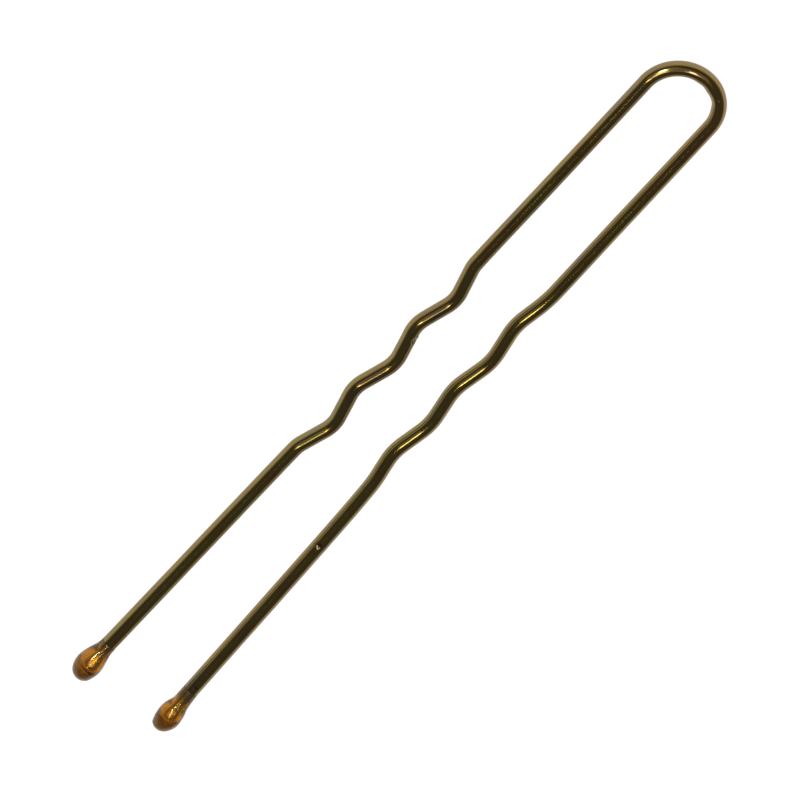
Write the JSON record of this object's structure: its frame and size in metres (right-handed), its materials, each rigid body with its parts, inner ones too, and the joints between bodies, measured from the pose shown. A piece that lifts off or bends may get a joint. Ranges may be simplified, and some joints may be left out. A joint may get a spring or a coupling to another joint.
{
  "type": "hairpin",
  "caption": "U-shaped hairpin of round brown-lacquered wire, with waved springy legs below a round crown and an oval amber lacquer bead on each tip.",
  "frame": {"origin": "centre of the crown bend, in the middle plane of the wire", "axes": "+Y along the legs from the tips to the crown, +X across the legs towards the shorter one, +Z out of the pin's flat plane"},
  "size_m": [0.0095, 0.0699, 0.002],
  "materials": {
    "wire": "glossy translucent brown lacquer over bright steel wire",
    "bead": "glossy translucent amber lacquer"
  },
  "bodies": {
    "crown": {"crown_bend": "wire"},
    "left_side": {"left_leg": "wire", "left_bead": "bead"},
    "right_side": {"right_leg": "wire", "right_bead": "bead"}
  },
  "joints": [
    {"name": "left_leg_flex", "type": "hinge", "parent": "crown", "child": "left_side", "pos_m": [-0.00305, -0.011, 0], "axis": [0, 0, -1], "range_deg": [-2.7, 8], "stiffness_Nm_per_rad": 0.53},
    {"name": "right_leg_flex", "type": "hinge", "parent": "crown", "child": "right_side", "pos_m": [0.00305, -0.011, 0], "axis": [0, 0, 1], "range_deg": [-2.7, 8], "stiffness_Nm_per_rad": 0.53}
  ]
}
